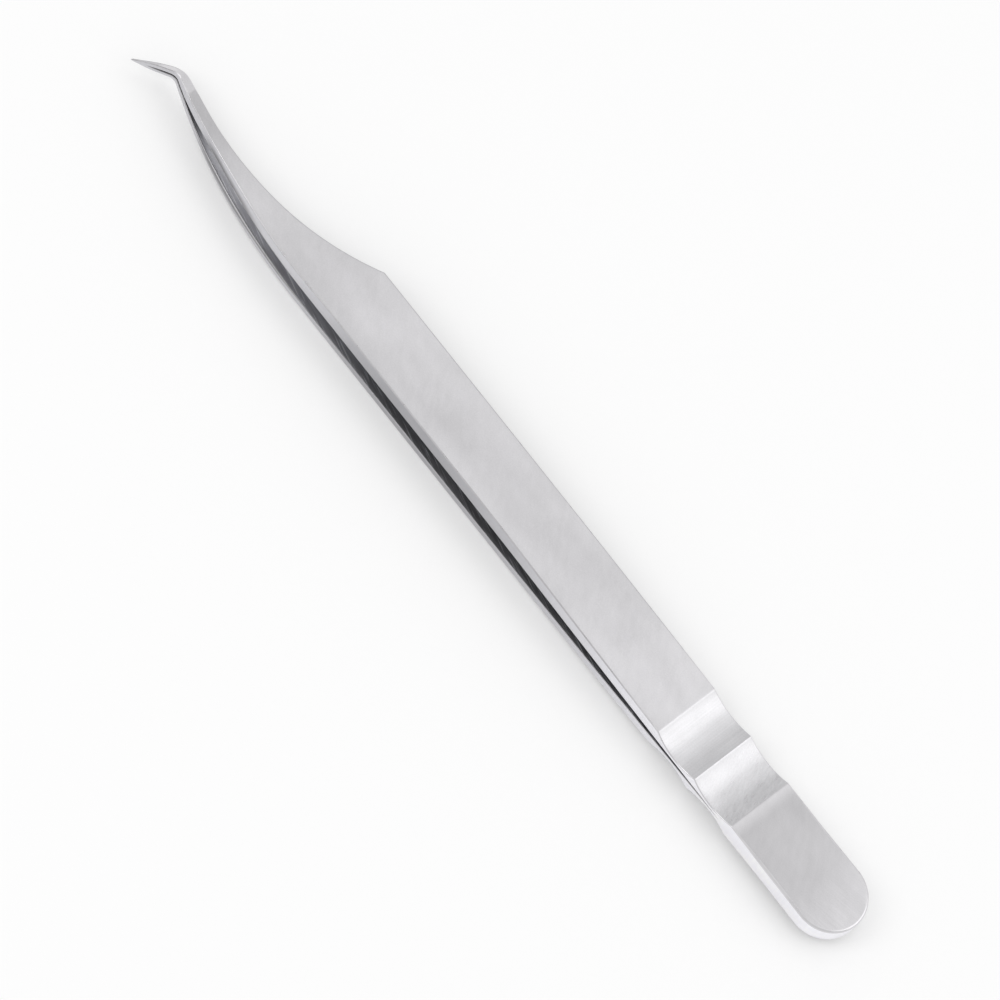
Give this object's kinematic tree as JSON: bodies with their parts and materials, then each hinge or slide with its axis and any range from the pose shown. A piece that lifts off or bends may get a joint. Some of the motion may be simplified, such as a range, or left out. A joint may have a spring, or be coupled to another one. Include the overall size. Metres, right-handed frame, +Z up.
{
  "type": "tweezers",
  "caption": "Fine-point tweezers with angled tips: slim flat steel arms, a hollowed neck, thumb scoops and a rounded tail, shown closed at the tips.",
  "frame": {"origin": "middle of the tool's box, on the face that it rests on", "axes": "+X along the tool towards the tips, +Y across it towards the side that the tips turn to, +Z up through both arms"},
  "size_m": [0.14, 0.0102, 0.0056],
  "materials": {
    "satin_steel": "satin brushed stainless steel, with finer ground tips and bright ground thumb scoops"
  },
  "bodies": {
    "root": {"upper_arm": "satin_steel", "lower_arm": "satin_steel"}
  },
  "joints": []
}
